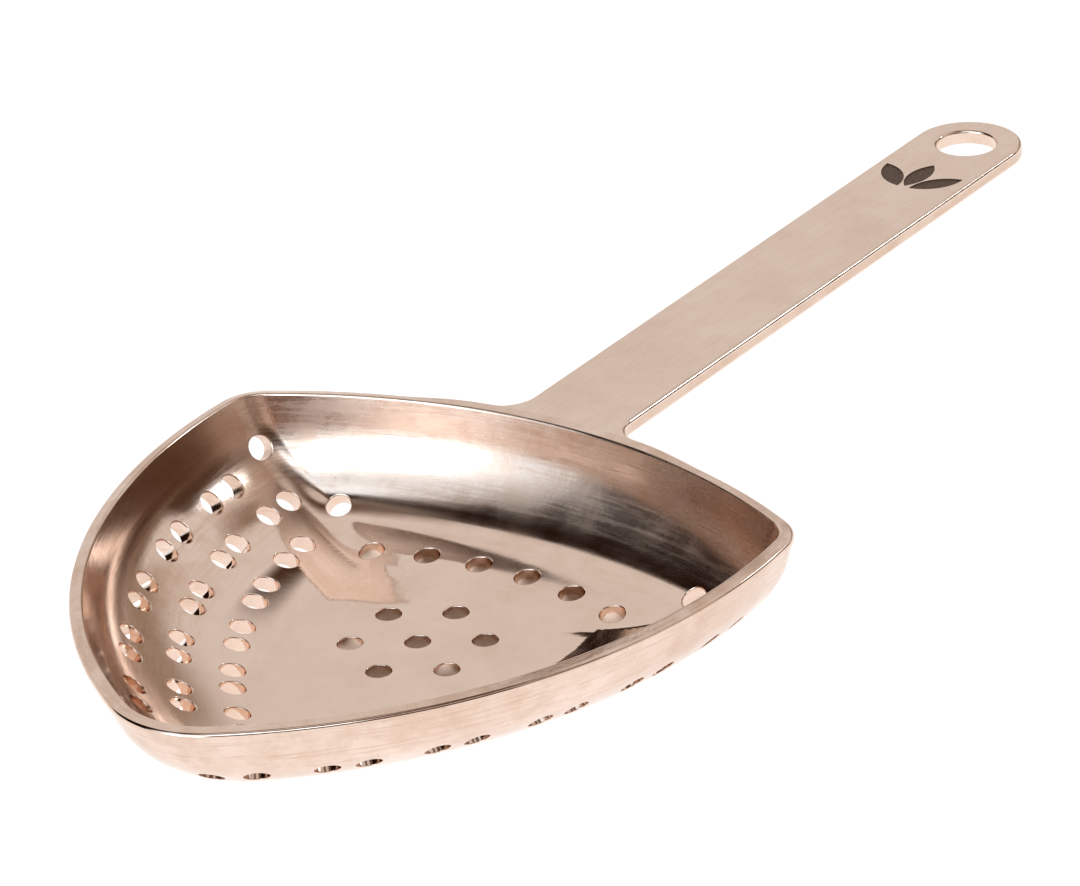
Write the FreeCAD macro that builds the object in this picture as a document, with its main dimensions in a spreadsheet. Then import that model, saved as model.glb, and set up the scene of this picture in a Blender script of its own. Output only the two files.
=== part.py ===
import FreeCAD, Part

import math
import os

import Sketcher
from FreeCAD import Placement, Rotation, Vector

# A one-cup scoop strainer for bar drinks, in millimetres.
#
# A pressed bowl with a rounded three-sided outline is drilled through its flat floor and through
# the lower part of the two walls beside the pouring tip.  A flat bar handle is welded to the
# middle of the third wall, flush with the rim, and droops a little towards its hanging hole.
#
# Frame: the origin lies on the plane that the bowl stands on, under the middle hole of the floor.
# +X runs along the handle, +Z is up, and the pouring tip points to -X.  The part is symmetrical
# about the XZ plane.

# The driving dimensions: alias, value and what it measures.  Lengths are in millimetres and
# angles in degrees.  A turn runs from 0 at the floor edge to 1 at the end of the foot radius and
# 2 at the rim; an "along" runs from 0 to 1 between the two ends of an outline arc.
DIMENSIONS = [
    ("gauge", 1.85, "sheet thickness of the bowl"),
    ("rim_height", 15.8, "standing plane to the rim"),
    ("foot_radius", 13.7, "inner radius between floor and wall"),
    ("wall_lean", 13.6, "slope of the wall above the foot radius, from vertical"),
    ("rim_edge_radius", 0.45, "rounding of both edges of the rim"),
    ("rim_reach", 32.2, "origin to the rim on the handle side"),
    ("rim_back_radius", 77.9, "rim arc on the handle side"),
    ("rim_corner_y", 33.6, "centre of the rim corner arcs, off the plane of symmetry"),
    ("rim_corner_radius", 6.3, "rim corner arcs"),
    ("rim_tip_x", 37.1, "origin to the centre of the rim arc at the pouring tip"),
    ("rim_tip_radius", 13.1, "rim arc at the pouring tip"),
    ("rim_side_radius", 70.5, "rim arcs on both sides of the pouring tip"),
    ("floor_reach", 16.2, "origin to the floor edge on the handle side"),
    ("floor_back_radius", 120.0, "floor edge arc on the handle side"),
    ("floor_corner_y", 14.4, "centre of the floor corner arcs, off the plane of symmetry"),
    ("floor_corner_radius", 2.9, "floor corner arcs"),
    ("floor_tip_x", 16.2, "origin to the centre of the floor arc at the pouring tip"),
    ("floor_tip_radius", 2.9, "floor arc at the pouring tip"),
    ("floor_side_radius", 60.0, "floor arcs on both sides of the pouring tip"),
    ("hole_radius", 1.5, "straining holes"),
    ("hole_pitch", 7.8, "spacing of the seven holes in the middle of the floor"),
    ("row_reach", 17.7, "origin to the middle of the back row of holes"),
    ("row_pitch", 6.76, "spacing of the back row of holes"),
    ("row_bow", 0.0093, "how far the back row falls back, per square of the offset"),
    ("inner_turn", 0.289, "turn of the inner ring of holes"),
    ("inner_start", 0.113, "along of the first pair in the inner ring"),
    ("inner_step", 0.207, "along between pairs in the inner ring"),
    ("inner_gap", 0.0845, "along between the two holes of an inner pair"),
    ("middle_turn", 0.512, "turn of the middle ring of holes"),
    ("middle_start", 0.038, "along of the first pair in the middle ring"),
    ("middle_step", 0.192, "along between pairs in the middle ring"),
    ("middle_gap", 0.068, "along between the two holes of a middle pair"),
    ("outer_turn", 0.749, "turn of the outer ring of holes"),
    ("outer_start", 0.121, "along of the first pair in the outer ring"),
    ("outer_step", 0.1781, "along between pairs in the outer ring"),
    ("outer_gap", 0.0666, "along between the two holes of an outer pair"),
    ("corner_inner_turn", 0.41, "turn of the inner single hole in each corner"),
    ("corner_outer_turn", 0.848, "turn of the outer single hole in each corner"),
    ("corner_outer_along", 0.77, "along of the outer single hole on the corner arc"),
    ("handle_width", 13.8, "width of the handle bar"),
    ("handle_gauge", 1.85, "thickness of the handle bar"),
    ("handle_droop", 1.7, "slope of the handle below the rim plane"),
    ("handle_drop", 0.15, "rim to the top of the bar's root"),
    ("handle_overlap", 1.6, "length of the bar inside the rim, before it is fitted to the wall"),
    ("handle_length", 91.7, "root of the bar to the hanging hole"),
    ("handle_flare", 4.5, "concave radius where the bar widens into the rim"),
    ("flare_tuck", 0.7, "how far the end of each flare lies behind the front of the rim"),
    ("handle_edge_radius", 0.45, "rounding of the long edges of the bar"),
    ("hang_hole_radius", 3.75, "hanging hole"),
    ("hang_hole_bevel", 0.35, "bevel on both mouths of the hanging hole"),
    ("leaf_length", 7.0, "each leaf of the etched sprig"),
    ("leaf_bulge_radius", 5.2, "arcs of each etched leaf"),
    ("leaf_setback", 16.0, "hanging hole to the foot of the etched sprig"),
    ("leaf_gap", 1.2, "foot of the sprig to the point of each leaf"),
    ("leaf_spread", 42.0, "angle between neighbouring leaves"),
    ("etch_depth", 0.12, "depth of the etching"),
    ("weld_radius", 2.6, "concave radius of the weld bead under the handle"),
    ("weld_length", 17.0, "length of the weld bead along the wall"),
]

INNER_PAIRS = 5
MIDDLE_PAIRS = 6
OUTER_PAIRS = 6
ROW_COUNT = 6
HEXAGON_COUNT = 6
LEAF_COUNT = 3
WALL_TURNS = (0.0, 0.17, 0.34, 0.51, 0.68, 0.84, 1.0, 1.5, 2.0)
DRILL_MARGIN = 1.6

NAME = "scoop_strainer"


class Sizes:
    """Reads the spreadsheet's cells by their aliases."""

    def __init__(self, sheet):
        self.sheet = sheet

    def __getattr__(self, alias):
        return float(self.sheet.get(alias))


def make_sheet(doc):
    sheet = doc.addObject("Spreadsheet::Sheet", "Sizes")
    for row, (alias, value, note) in enumerate(DIMENSIONS, start=1):
        sheet.set(f"A{row}", note)
        sheet.set(f"B{row}", str(value))
        sheet.setAlias(f"B{row}", alias)
    doc.recompute()
    return Sizes(sheet)


# ---------------------------------------------------------------- geometry of the pressed bowl


def wall_profile(size, turn, outer):
    """Spread and rise of the wall at one turn: both are 0 at the floor edge and 1 at the rim."""
    lean = math.radians(size.wall_lean)
    sheet_side = size.gauge if outer else 0.0
    radius = size.foot_radius + sheet_side
    height = size.rim_height - size.gauge + sheet_side
    end_angle = math.pi / 2 - lean
    foot_run = radius * math.sin(end_angle)
    foot_rise = radius * (1 - math.cos(end_angle))
    full_run = foot_run + (height - foot_rise) * math.tan(lean)
    if turn <= 1:
        run = radius * math.sin(turn * end_angle)
        rise = radius * (1 - math.cos(turn * end_angle))
    else:
        rise = foot_rise + (height - foot_rise) * (turn - 1)
        run = foot_run + (rise - foot_rise) * math.tan(lean)
    return run / full_run, rise / height


def rim_inset(size, outer):
    """Distance from the outer rim line to the rim line of this side of the sheet."""
    return 0.0 if outer else size.gauge / math.cos(math.radians(size.wall_lean))


# Each outline size: its name, its alias at the floor and at the rim, and whether it shrinks with
# the thickness of the sheet.
OUTLINE_SIZES = [
    ("reach", "floor_reach", "rim_reach", True),
    ("back_radius", "floor_back_radius", "rim_back_radius", True),
    ("corner_y", "floor_corner_y", "rim_corner_y", False),
    ("corner_radius", "floor_corner_radius", "rim_corner_radius", True),
    ("tip_x", "floor_tip_x", "rim_tip_x", False),
    ("tip_radius", "floor_tip_radius", "rim_tip_radius", True),
    ("side_radius", "floor_side_radius", "rim_side_radius", True),
]


def outline_sizes(size, turn, outer):
    """The seven sizes of the outline at one turn, as numbers and as spreadsheet expressions."""
    spread, _ = wall_profile(size, turn, outer)
    inset = rim_inset(size, outer)
    values = {}
    expressions = {}
    for name, floor_alias, rim_alias, shrinks in OUTLINE_SIZES:
        shrink = inset if shrinks else 0.0
        floor_value = getattr(size, floor_alias)
        rim_value = getattr(size, rim_alias) - shrink
        values[name] = floor_value * (1 - spread) + rim_value * spread
        expressions[name] = (
            f"Sizes.{floor_alias} * {1 - spread:.9f}"
            f" + (Sizes.{rim_alias} - {shrink:.9f}) * {spread:.9f}"
        )
    return values, expressions


def direction(angle):
    return Vector(math.cos(angle), math.sin(angle), 0)


def mirrored(vector):
    """The same vector on the other side of the plane of symmetry."""
    return Vector(vector.x, -vector.y, vector.z)


def angle_of(vector):
    return math.atan2(vector.y, vector.x)


def outline_arcs(values):
    """Six tangent arcs, counter-clockwise from the handle side: centre, radius, start and end."""
    back_centre = Vector(values["reach"] - values["back_radius"], 0, 0)
    corner_off = values["back_radius"] - values["corner_radius"]
    corner_x = back_centre.x + math.sqrt(corner_off**2 - values["corner_y"] ** 2)
    corner = Vector(corner_x, values["corner_y"], 0)
    tip = Vector(-values["tip_x"], 0, 0)
    to_corner = values["side_radius"] - values["corner_radius"]
    to_tip = values["side_radius"] - values["tip_radius"]
    span = tip - corner
    foot = (to_corner**2 - to_tip**2 + span.Length**2) / (2 * span.Length)
    offset = math.sqrt(to_corner**2 - foot**2)
    unit = span / span.Length
    side = corner + unit * foot + Vector(-unit.y, unit.x, 0) * offset
    back_end = angle_of(corner - back_centre)
    side_start = angle_of(corner - side)
    side_end = angle_of(tip - side)
    full_turn = 2 * math.pi
    return [
        (back_centre, values["back_radius"], -back_end, back_end),
        (corner, values["corner_radius"], back_end, side_start),
        (side, values["side_radius"], side_start, side_end),
        (tip, values["tip_radius"], side_end, full_turn - side_end),
        (mirrored(side), values["side_radius"], full_turn - side_end, full_turn - side_start),
        (mirrored(corner), values["corner_radius"], full_turn - side_start, full_turn - back_end),
    ]


BACK, CORNER, SIDE, TIP, SIDE_LOW, CORNER_LOW = range(6)
CENTRE, START, END = 3, 1, 2
ORIGIN = (-1, 1)
X_AXIS = -1
Y_AXIS = -2


def plane_of(body, role):
    return next(item for item in body.Origin.OriginFeatures if item.Role == role)


def new_sketch(body, name, role):
    sketch = body.newObject("Sketcher::SketchObject", name)
    sketch.AttachmentSupport = [(plane_of(body, role), "")]
    sketch.MapMode = "FlatFace"
    return sketch


def constrain(sketch, *arguments):
    return sketch.addConstraint(Sketcher.Constraint(*arguments))


def drive(sketch, name, expression, *arguments):
    """Adds a named dimension and binds it to the spreadsheet."""
    index = constrain(sketch, *arguments)
    sketch.renameConstraint(index, name)
    sketch.setExpression(f"Constraints.{name}", expression)


def add_arc(sketch, centre, radius, start, end):
    circle = Part.Circle(centre, Vector(0, 0, 1), radius)
    return sketch.addGeometry(Part.ArcOfCircle(circle, start, end), False)


def add_line(sketch, start, end):
    return sketch.addGeometry(Part.LineSegment(start, end), False)


def outline_sketch(body, size, turn, outer, index):
    """The bowl's outline at one turn, on its own level plane."""
    values, expressions = outline_sizes(size, turn, outer)
    _, rise = wall_profile(size, turn, outer)
    sketch = new_sketch(body, f"{body.Name}_level_{index}", "XY_Plane")
    bottom = "0" if outer else "Sizes.gauge"
    level = f"{bottom} + (Sizes.rim_height - {bottom}) * {rise:.9f}"
    sketch.setExpression("AttachmentOffset.Base.z", level)
    for centre, radius, start, end in outline_arcs(values):
        add_arc(sketch, centre, radius, start, end)
    for arc in range(6):
        constrain(sketch, "Tangent", arc, END, (arc + 1) % 6, START)
    constrain(sketch, "PointOnObject", BACK, CENTRE, X_AXIS)
    constrain(sketch, "PointOnObject", TIP, CENTRE, X_AXIS)
    constrain(sketch, "Equal", CORNER, CORNER_LOW)
    constrain(sketch, "Equal", SIDE, SIDE_LOW)
    back_offset = values["back_radius"] - values["reach"]
    drive(
        sketch, "back_centre", f"({expressions['back_radius']}) - ({expressions['reach']})",
        "DistanceX", BACK, CENTRE, *ORIGIN, back_offset,
    )
    corner_y = values["corner_y"]
    drive(sketch, "corner_y", expressions["corner_y"], "DistanceY", *ORIGIN, CORNER, CENTRE, corner_y)
    drive(
        sketch, "low_corner_y", expressions["corner_y"],
        "DistanceY", CORNER_LOW, CENTRE, *ORIGIN, corner_y,
    )
    drive(sketch, "tip_x", expressions["tip_x"], "DistanceX", TIP, CENTRE, *ORIGIN, values["tip_x"])
    for arc, name in ((BACK, "back"), (CORNER, "corner"), (SIDE, "side"), (TIP, "tip")):
        key = f"{name}_radius"
        drive(sketch, key, expressions[key], "Radius", arc, values[key])
    return sketch


def bowl_side(doc, size, name, outer):
    """A solid bounded by one side of the sheet: the bowl's outside or its hollow."""
    body = doc.addObject("PartDesign::Body", name)
    levels = [
        outline_sketch(body, size, turn, outer, index) for index, turn in enumerate(WALL_TURNS)
    ]
    doc.recompute()
    loft = body.newObject("PartDesign::AdditiveLoft", f"{name}_loft")
    loft.Profile = levels[0]
    loft.Sections = levels[1:]
    loft.Ruled = False
    body.Tip = loft
    doc.recompute()
    return body


def wall_point(size, arc, turn, along, outer):
    """A point of the wall on one side of the sheet."""
    values, _ = outline_sizes(size, turn, outer)
    _, rise = wall_profile(size, turn, outer)
    centre, radius, start, end = outline_arcs(values)[arc]
    point = centre + direction(start + (end - start) * along) * radius
    bottom = 0.0 if outer else size.gauge
    return Vector(point.x, point.y, bottom + (size.rim_height - bottom) * rise)


def floor_holes(size):
    """Foot and direction of each drill that goes straight down through the floor."""
    spots = [Vector(0, 0, 0)]
    for count in range(HEXAGON_COUNT):
        spots.append(direction(2 * math.pi * count / HEXAGON_COUNT) * size.hole_pitch)
    for count in range(ROW_COUNT):
        offset = (count - (ROW_COUNT - 1) / 2) * size.row_pitch
        spots.append(Vector(size.row_reach - size.row_bow * offset**2, offset, 0))
    down = Vector(0, 0, -1)
    top = Vector(0, 0, size.gauge)
    return [(spot + top, down) for spot in spots]


def ring_place(size, turn, along):
    """The arc and the part of it at one along of a side wall.

    Past an end of the side arc the ring runs on round the corner or the pouring tip.
    """
    values, _ = outline_sizes(size, turn, False)
    arcs = outline_arcs(values)
    lengths = {arc: arcs[arc][1] * (arcs[arc][3] - arcs[arc][2]) for arc in (CORNER, SIDE, TIP)}
    if along < 0:
        return CORNER, 1 + along * lengths[SIDE] / lengths[CORNER]
    if along > 1:
        return TIP, (along - 1) * lengths[SIDE] / lengths[TIP]
    return SIDE, along


def wall_holes(size):
    """Foot and direction of each drill that goes square through the curved wall."""
    rings = [
        (INNER_PAIRS, size.inner_turn, size.inner_start, size.inner_step, size.inner_gap),
        (MIDDLE_PAIRS, size.middle_turn, size.middle_start, size.middle_step, size.middle_gap),
        (OUTER_PAIRS, size.outer_turn, size.outer_start, size.outer_step, size.outer_gap),
    ]
    places = [
        (size.corner_inner_turn, (CORNER, 0.0)),
        (size.corner_outer_turn, (CORNER, size.corner_outer_along)),
    ]
    for pairs, turn, first, step, gap in rings:
        for pair in range(pairs):
            for side in (-0.5, 0.5):
                places.append((turn, ring_place(size, turn, first + step * pair + gap * side)))
    drills = []
    for turn, (arc, along) in places:
        inside = wall_point(size, arc, turn, along, False)
        outward = wall_point(size, arc, turn, along, True) - inside
        drills.append((inside, outward))
        drills.append((mirrored(inside), mirrored(outward)))
    return drills


def drill_bits(doc, size):
    bits = []
    for index, (foot, outward) in enumerate(floor_holes(size) + wall_holes(size)):
        bit = doc.addObject("Part::Cylinder", f"drill_{index}")
        bit.setExpression("Radius", "Sizes.hole_radius")
        bit.setExpression("Height", f"Sizes.gauge + 2 * {DRILL_MARGIN}")
        unit = outward / outward.Length
        start = foot - unit * DRILL_MARGIN
        bit.Placement = Placement(start, Rotation(Vector(0, 0, 1), unit))
        bits.append(bit)
    group = doc.addObject("Part::Compound", "drills")
    group.Links = bits
    return group


def cut(doc, name, base, tool):
    result = doc.addObject("Part::Cut", name)
    result.Base = base
    result.Tool = tool
    doc.recompute()
    return result


def edges_where(shape, wanted):
    return [index for index, edge in enumerate(shape.Edges, start=1) if wanted(edge)]


def make_bowl(doc, size, outside):
    hollow = bowl_side(doc, size, "bowl_hollow", False)
    pressing = cut(doc, "bowl_pressing", outside, hollow)
    on_rim = edges_where(
        pressing.Shape,
        lambda edge: all(abs(v.Z - size.rim_height) < 1e-4 for v in edge.Vertexes)
        and abs(edge.CenterOfMass.z - size.rim_height) < 1e-4,
    )
    rounded = doc.addObject("Part::Fillet", "bowl_rounded_rim")
    rounded.Base = pressing
    rounded.Edges = [(edge, size.rim_edge_radius, size.rim_edge_radius) for edge in on_rim]
    doc.recompute()
    return cut(doc, "bowl", rounded, drill_bits(doc, size))


# ---------------------------------------------------------------- geometry of the handle


def handle_plan(body, size):
    """The bar seen from above: flared root, long edges and round end."""
    half = size.handle_width / 2
    flare = size.handle_flare
    wide = half + flare
    flare_x = size.handle_overlap + flare - size.flare_tuck
    length = size.handle_length
    sketch = new_sketch(body, "handle_plan", "XY_Plane")
    quarter = math.pi / 2
    root = add_line(sketch, Vector(0, wide, 0), Vector(0, -wide, 0))
    low_step = add_line(sketch, Vector(0, -wide, 0), Vector(flare_x - flare, -wide, 0))
    low_flare = add_arc(sketch, Vector(flare_x, -wide, 0), flare, quarter, 2 * quarter)
    low_edge = add_line(sketch, Vector(flare_x, -half, 0), Vector(length, -half, 0))
    nose = add_arc(sketch, Vector(length, 0, 0), half, -quarter, quarter)
    high_edge = add_line(sketch, Vector(length, half, 0), Vector(flare_x, half, 0))
    high_flare = add_arc(sketch, Vector(flare_x, wide, 0), flare, 2 * quarter, 3 * quarter)
    high_step = add_line(sketch, Vector(flare_x - flare, wide, 0), Vector(0, wide, 0))
    constrain(sketch, "Coincident", root, END, low_step, START)
    constrain(sketch, "Coincident", low_step, END, low_flare, END)
    constrain(sketch, "Tangent", low_flare, START, low_edge, START)
    constrain(sketch, "Tangent", low_edge, END, nose, START)
    constrain(sketch, "Tangent", nose, END, high_edge, START)
    constrain(sketch, "Tangent", high_edge, END, high_flare, END)
    constrain(sketch, "Coincident", high_flare, START, high_step, START)
    constrain(sketch, "Coincident", high_step, END, root, START)
    for line in (low_step, high_step, low_edge, high_edge):
        constrain(sketch, "Horizontal", line)
    constrain(sketch, "PointOnObject", root, START, Y_AXIS)
    constrain(sketch, "Vertical", root)
    constrain(sketch, "PointOnObject", nose, CENTRE, X_AXIS)
    constrain(sketch, "Horizontal", low_flare, CENTRE, low_flare, END)
    constrain(sketch, "Horizontal", high_flare, CENTRE, high_flare, START)
    drive(sketch, "half_width", "Sizes.handle_width / 2", "Radius", nose, half)
    drive(sketch, "length", "Sizes.handle_length", "DistanceX", *ORIGIN, nose, CENTRE, length)
    for name, arc in (("low", low_flare), ("high", high_flare)):
        drive(sketch, f"{name}_flare", "Sizes.handle_flare", "Radius", arc, flare)
        drive(
            sketch, f"{name}_flare_x", "Sizes.handle_overlap + Sizes.handle_flare - Sizes.flare_tuck",
            "DistanceX", *ORIGIN, arc, CENTRE, flare_x,
        )
    return sketch


def hang_hole_plan(body, size):
    sketch = new_sketch(body, "hang_hole_plan", "XY_Plane")
    centre = Vector(size.handle_length, 0, 0)
    circle = sketch.addGeometry(Part.Circle(centre, Vector(0, 0, 1), size.hang_hole_radius), False)
    constrain(sketch, "PointOnObject", circle, CENTRE, X_AXIS)
    drive(sketch, "place", "Sizes.handle_length", "DistanceX", *ORIGIN, circle, CENTRE, centre.x)
    drive(sketch, "radius", "Sizes.hang_hole_radius", "Radius", circle, size.hang_hole_radius)
    return sketch


def sprig_plan(body, size):
    """Three pointed leaves that fan out from one foot."""
    sketch = new_sketch(body, "sprig_plan", "XY_Plane")
    foot = Vector(size.handle_length - size.leaf_setback, 0, 0)
    bulge = size.leaf_bulge_radius
    half_angle = math.asin(size.leaf_length / 2 / bulge)
    for count in range(LEAF_COUNT):
        lean = math.radians(size.leaf_spread) * (count - (LEAF_COUNT - 1) / 2)
        axis = direction(lean)
        across = direction(lean + math.pi / 2)
        start = foot + axis * size.leaf_gap
        middle = start + axis * (size.leaf_length / 2)
        depth = bulge * math.cos(half_angle)
        low = add_arc(
            sketch, middle + across * depth, bulge,
            lean - math.pi / 2 - half_angle, lean - math.pi / 2 + half_angle,
        )
        high = add_arc(
            sketch, middle - across * depth, bulge,
            lean + math.pi / 2 - half_angle, lean + math.pi / 2 + half_angle,
        )
        constrain(sketch, "Coincident", low, START, high, END)
        constrain(sketch, "Coincident", low, END, high, START)
        drive(sketch, f"low_leaf_{count}", "Sizes.leaf_bulge_radius", "Radius", low, bulge)
        drive(sketch, f"high_leaf_{count}", "Sizes.leaf_bulge_radius", "Radius", high, bulge)
    return sketch


def make_handle(doc, size, outside):
    body = doc.addObject("PartDesign::Body", "handle_bar")
    plan = handle_plan(body, size)
    doc.recompute()
    bar = body.newObject("PartDesign::Pad", "bar")
    bar.Profile = plan
    bar.setExpression("Length", "Sizes.handle_gauge")
    bar.Reversed = True
    doc.recompute()
    flare_end = size.handle_overlap + 0.5
    long_edges = edges_where(
        bar.Shape,
        lambda edge: edge.Length > 2.5 * size.handle_gauge and edge.BoundBox.XMax > flare_end,
    )
    rounding = body.newObject("PartDesign::Fillet", "rounding")
    rounding.Base = (bar, [f"Edge{index}" for index in long_edges])
    rounding.setExpression("Radius", "Sizes.handle_edge_radius")
    doc.recompute()
    hole_plan = hang_hole_plan(body, size)
    doc.recompute()
    hole = body.newObject("PartDesign::Pocket", "hang_hole")
    hole.Profile = hole_plan
    hole.Type = "ThroughAll"
    doc.recompute()
    mouths = edges_where(
        hole.Shape,
        lambda edge: isinstance(edge.Curve, Part.Circle)
        and abs(edge.Curve.Radius - size.hang_hole_radius) < 1e-6
        and abs(edge.Curve.Center.x - size.handle_length) < 1e-6,
    )
    bevel = body.newObject("PartDesign::Chamfer", "hang_hole_bevel")
    bevel.Base = (hole, [f"Edge{index}" for index in mouths])
    bevel.setExpression("Size", "Sizes.hang_hole_bevel")
    doc.recompute()
    leaves = sprig_plan(body, size)
    doc.recompute()
    etching = body.newObject("PartDesign::Pocket", "etched_sprig")
    etching.Profile = leaves
    etching.setExpression("Length", "Sizes.etch_depth")
    doc.recompute()
    body.Tip = etching
    root = Vector(size.rim_reach - size.handle_overlap, 0, size.rim_height - size.handle_drop)
    body.Placement = Placement(root, Rotation(Vector(0, 1, 0), size.handle_droop))
    doc.recompute()
    return cut(doc, "handle", body, outside)


# ---------------------------------------------------------------- geometry of the weld


def weld_section(body, size):
    """A concave triangle between the wall and the underside of the bar, seen from the side.

    Its two straight legs reach a little into the wall and the bar, which trim it afterwards.
    """
    lean = math.radians(size.wall_lean)
    droop = math.radians(size.handle_droop)
    radius = size.weld_radius
    wall_foot = Vector(size.rim_reach, size.rim_height - size.handle_drop, 0)
    bar_foot = wall_foot - Vector(0, size.handle_gauge / math.cos(droop), 0)
    off_wall = Vector(math.cos(lean), -math.sin(lean), 0)
    off_bar = Vector(-math.sin(droop), -math.cos(droop), 0)
    along_wall = off_wall.dot(wall_foot) + radius
    along_bar = off_bar.dot(bar_foot) + radius
    determinant = off_wall.x * off_bar.y - off_wall.y * off_bar.x
    centre = Vector(
        (along_wall * off_bar.y - along_bar * off_wall.y) / determinant,
        (off_wall.x * along_bar - off_bar.x * along_wall) / determinant,
        0,
    )
    on_wall = centre - off_wall * radius
    on_bar = centre - off_bar * radius
    reach_in = size.handle_gauge / 2
    in_wall = on_wall - off_wall * reach_in
    in_bar = on_bar - off_bar * reach_in
    inner_corner = Vector(in_wall.x, in_bar.y, 0)
    sketch = new_sketch(body, "weld_section", "XZ_Plane")
    corners = [on_wall, in_wall, inner_corner, in_bar, on_bar]
    indices = [add_line(sketch, start, end) for start, end in zip(corners, corners[1:])]
    toe_start = angle_of(on_bar - centre)
    toe_end = angle_of(on_wall - centre) % (2 * math.pi)
    toe = add_arc(sketch, centre, radius, toe_start, toe_end)
    for first, second in zip(indices, indices[1:]):
        constrain(sketch, "Coincident", first, END, second, START)
    constrain(sketch, "Coincident", indices[-1], END, toe, START)
    constrain(sketch, "Coincident", toe, END, indices[0], START)
    drive(sketch, "toe_radius", "Sizes.weld_radius", "Radius", toe, radius)
    return sketch


def make_weld(doc, size, outside, handle):
    body = doc.addObject("PartDesign::Body", "weld_stick")
    section = weld_section(body, size)
    doc.recompute()
    stick = body.newObject("PartDesign::Pad", "stick")
    stick.Profile = section
    stick.setExpression("Length", "Sizes.weld_length")
    stick.SideType = "Symmetric"
    body.Tip = stick
    doc.recompute()
    fitted_to_wall = cut(doc, "weld_on_wall", body, outside)
    return cut(doc, "weld_bead", fitted_to_wall, handle)


# ---------------------------------------------------------------- checks and files


def check(doc, parts):
    for item in doc.Objects:
        if "Invalid" in item.State or "Error" in item.State:
            raise RuntimeError(f"{item.Name} failed: {item.State}")
    for part in parts:
        shape = part.Shape
        if shape.isNull() or not shape.isValid() or len(shape.Solids) != 1:
            raise RuntimeError(f"{part.Label} is not one valid solid: {len(shape.Solids)} solids")
        box = shape.BoundBox
        print(
            f"{part.Label}: {shape.Volume:.1f} mm3, x {box.XMin:.2f} to {box.XMax:.2f},"
            f" y {box.YMin:.2f} to {box.YMax:.2f}, z {box.ZMin:.2f} to {box.ZMax:.2f}"
        )


def main():
    doc = FreeCAD.newDocument(NAME)
    size = make_sheet(doc)
    outside = bowl_side(doc, size, "bowl_outside", True)
    bowl = make_bowl(doc, size, outside)
    handle = make_handle(doc, size, outside)
    weld = make_weld(doc, size, outside, handle)
    parts = [bowl, handle, weld]
    check(doc, parts)
    os.makedirs("parts", exist_ok=True)
    for part in parts:
        part.Shape.exportStep(f"parts/{part.Label}.step")


main()
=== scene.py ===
import math

import bpy
import numpy as np
from mathutils import Matrix, Vector, geometry


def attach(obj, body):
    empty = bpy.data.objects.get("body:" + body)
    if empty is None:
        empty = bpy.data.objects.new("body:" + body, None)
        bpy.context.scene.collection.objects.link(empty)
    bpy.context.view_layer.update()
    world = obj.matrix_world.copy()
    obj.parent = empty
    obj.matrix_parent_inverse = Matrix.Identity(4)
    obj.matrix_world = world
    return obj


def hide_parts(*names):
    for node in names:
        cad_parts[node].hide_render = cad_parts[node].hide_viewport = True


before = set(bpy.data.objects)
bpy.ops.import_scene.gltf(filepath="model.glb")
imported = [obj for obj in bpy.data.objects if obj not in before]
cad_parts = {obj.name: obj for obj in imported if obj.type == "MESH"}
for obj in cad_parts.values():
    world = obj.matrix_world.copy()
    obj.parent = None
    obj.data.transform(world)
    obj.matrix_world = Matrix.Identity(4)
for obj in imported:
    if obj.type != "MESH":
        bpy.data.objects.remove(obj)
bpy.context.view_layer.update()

# The looks of a one-cup scoop strainer: a pressed bowl drilled with straining holes, a flat bar
# handle and the weld between them, all in one rose copper.
#
# Shapes are worked out in millimetres, in the frame of the CAD model, and scaled to metres when a
# mesh is made.  The sizes are those of the CAD model.

METRES = 0.001

for start_up in ("Cube", "Light", "Camera"):
    if start_up in bpy.data.objects:
        bpy.data.objects.remove(bpy.data.objects[start_up])

# ---------------------------------------------------------------- sizes shared with the CAD model

GAUGE = 1.85
RIM_HEIGHT = 15.8
FOOT_RADIUS = 13.7
WALL_LEAN = math.radians(13.6)
RIM_EDGE_RADIUS = 0.45
RIM = dict(
    reach=32.2, back_radius=77.9, corner_y=33.6, corner_radius=6.3,
    tip_x=37.1, tip_radius=13.1, side_radius=70.5,
)
FLOOR = dict(
    reach=16.2, back_radius=120.0, corner_y=14.4, corner_radius=2.9,
    tip_x=16.2, tip_radius=2.9, side_radius=60.0,
)
FIXED_SIZES = ("corner_y", "tip_x")

HOLE_RADIUS = 1.5
HOLE_PITCH = 7.8
ROW_REACH, ROW_PITCH, ROW_BOW, ROW_COUNT = 17.7, 6.76, 0.0093, 6
RINGS = [  # turn, first along, step, gap, pairs
    (0.289, 0.113, 0.207, 0.0845, 5),
    (0.512, 0.038, 0.192, 0.068, 6),
    (0.749, 0.121, 0.1781, 0.0666, 6),
]
CORNER_HOLES = [(0.41, 0.0), (0.848, 0.77)]  # turn, along of the corner arc

HANDLE_WIDTH = 13.8
HANDLE_GAUGE = 1.85
HANDLE_DROOP = math.radians(1.7)
HANDLE_DROP = 0.15
HANDLE_OVERLAP = 1.6
HANDLE_LENGTH = 91.7
HANDLE_FLARE = 4.5
FLARE_TUCK = 0.95  # the ends of the flare lie inside the wall
HANDLE_EDGE_RADIUS = 0.45
HANG_HOLE_RADIUS = 3.75
HANG_HOLE_BEVEL = 0.35
LEAF_LENGTH, LEAF_BULGE, LEAF_SETBACK, LEAF_GAP = 7.0, 5.2, 16.0, 1.2
LEAF_SPREAD = math.radians(42.0)
ETCH_DEPTH = 0.12
WELD_RADIUS, WELD_LENGTH = 2.6, 17.0

# ---------------------------------------------------------------- finish of the drilled edges

MOUTH_IN = 0.16  # rounding of a hole's mouth inside the bowl
MOUTH_OUT = 0.12  # and outside
MOUTH_STEPS = 4
HOLE_SIDES = 40
COLLAR = 0.14  # a ring of vertices that keeps the sheet true round each mouth

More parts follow.
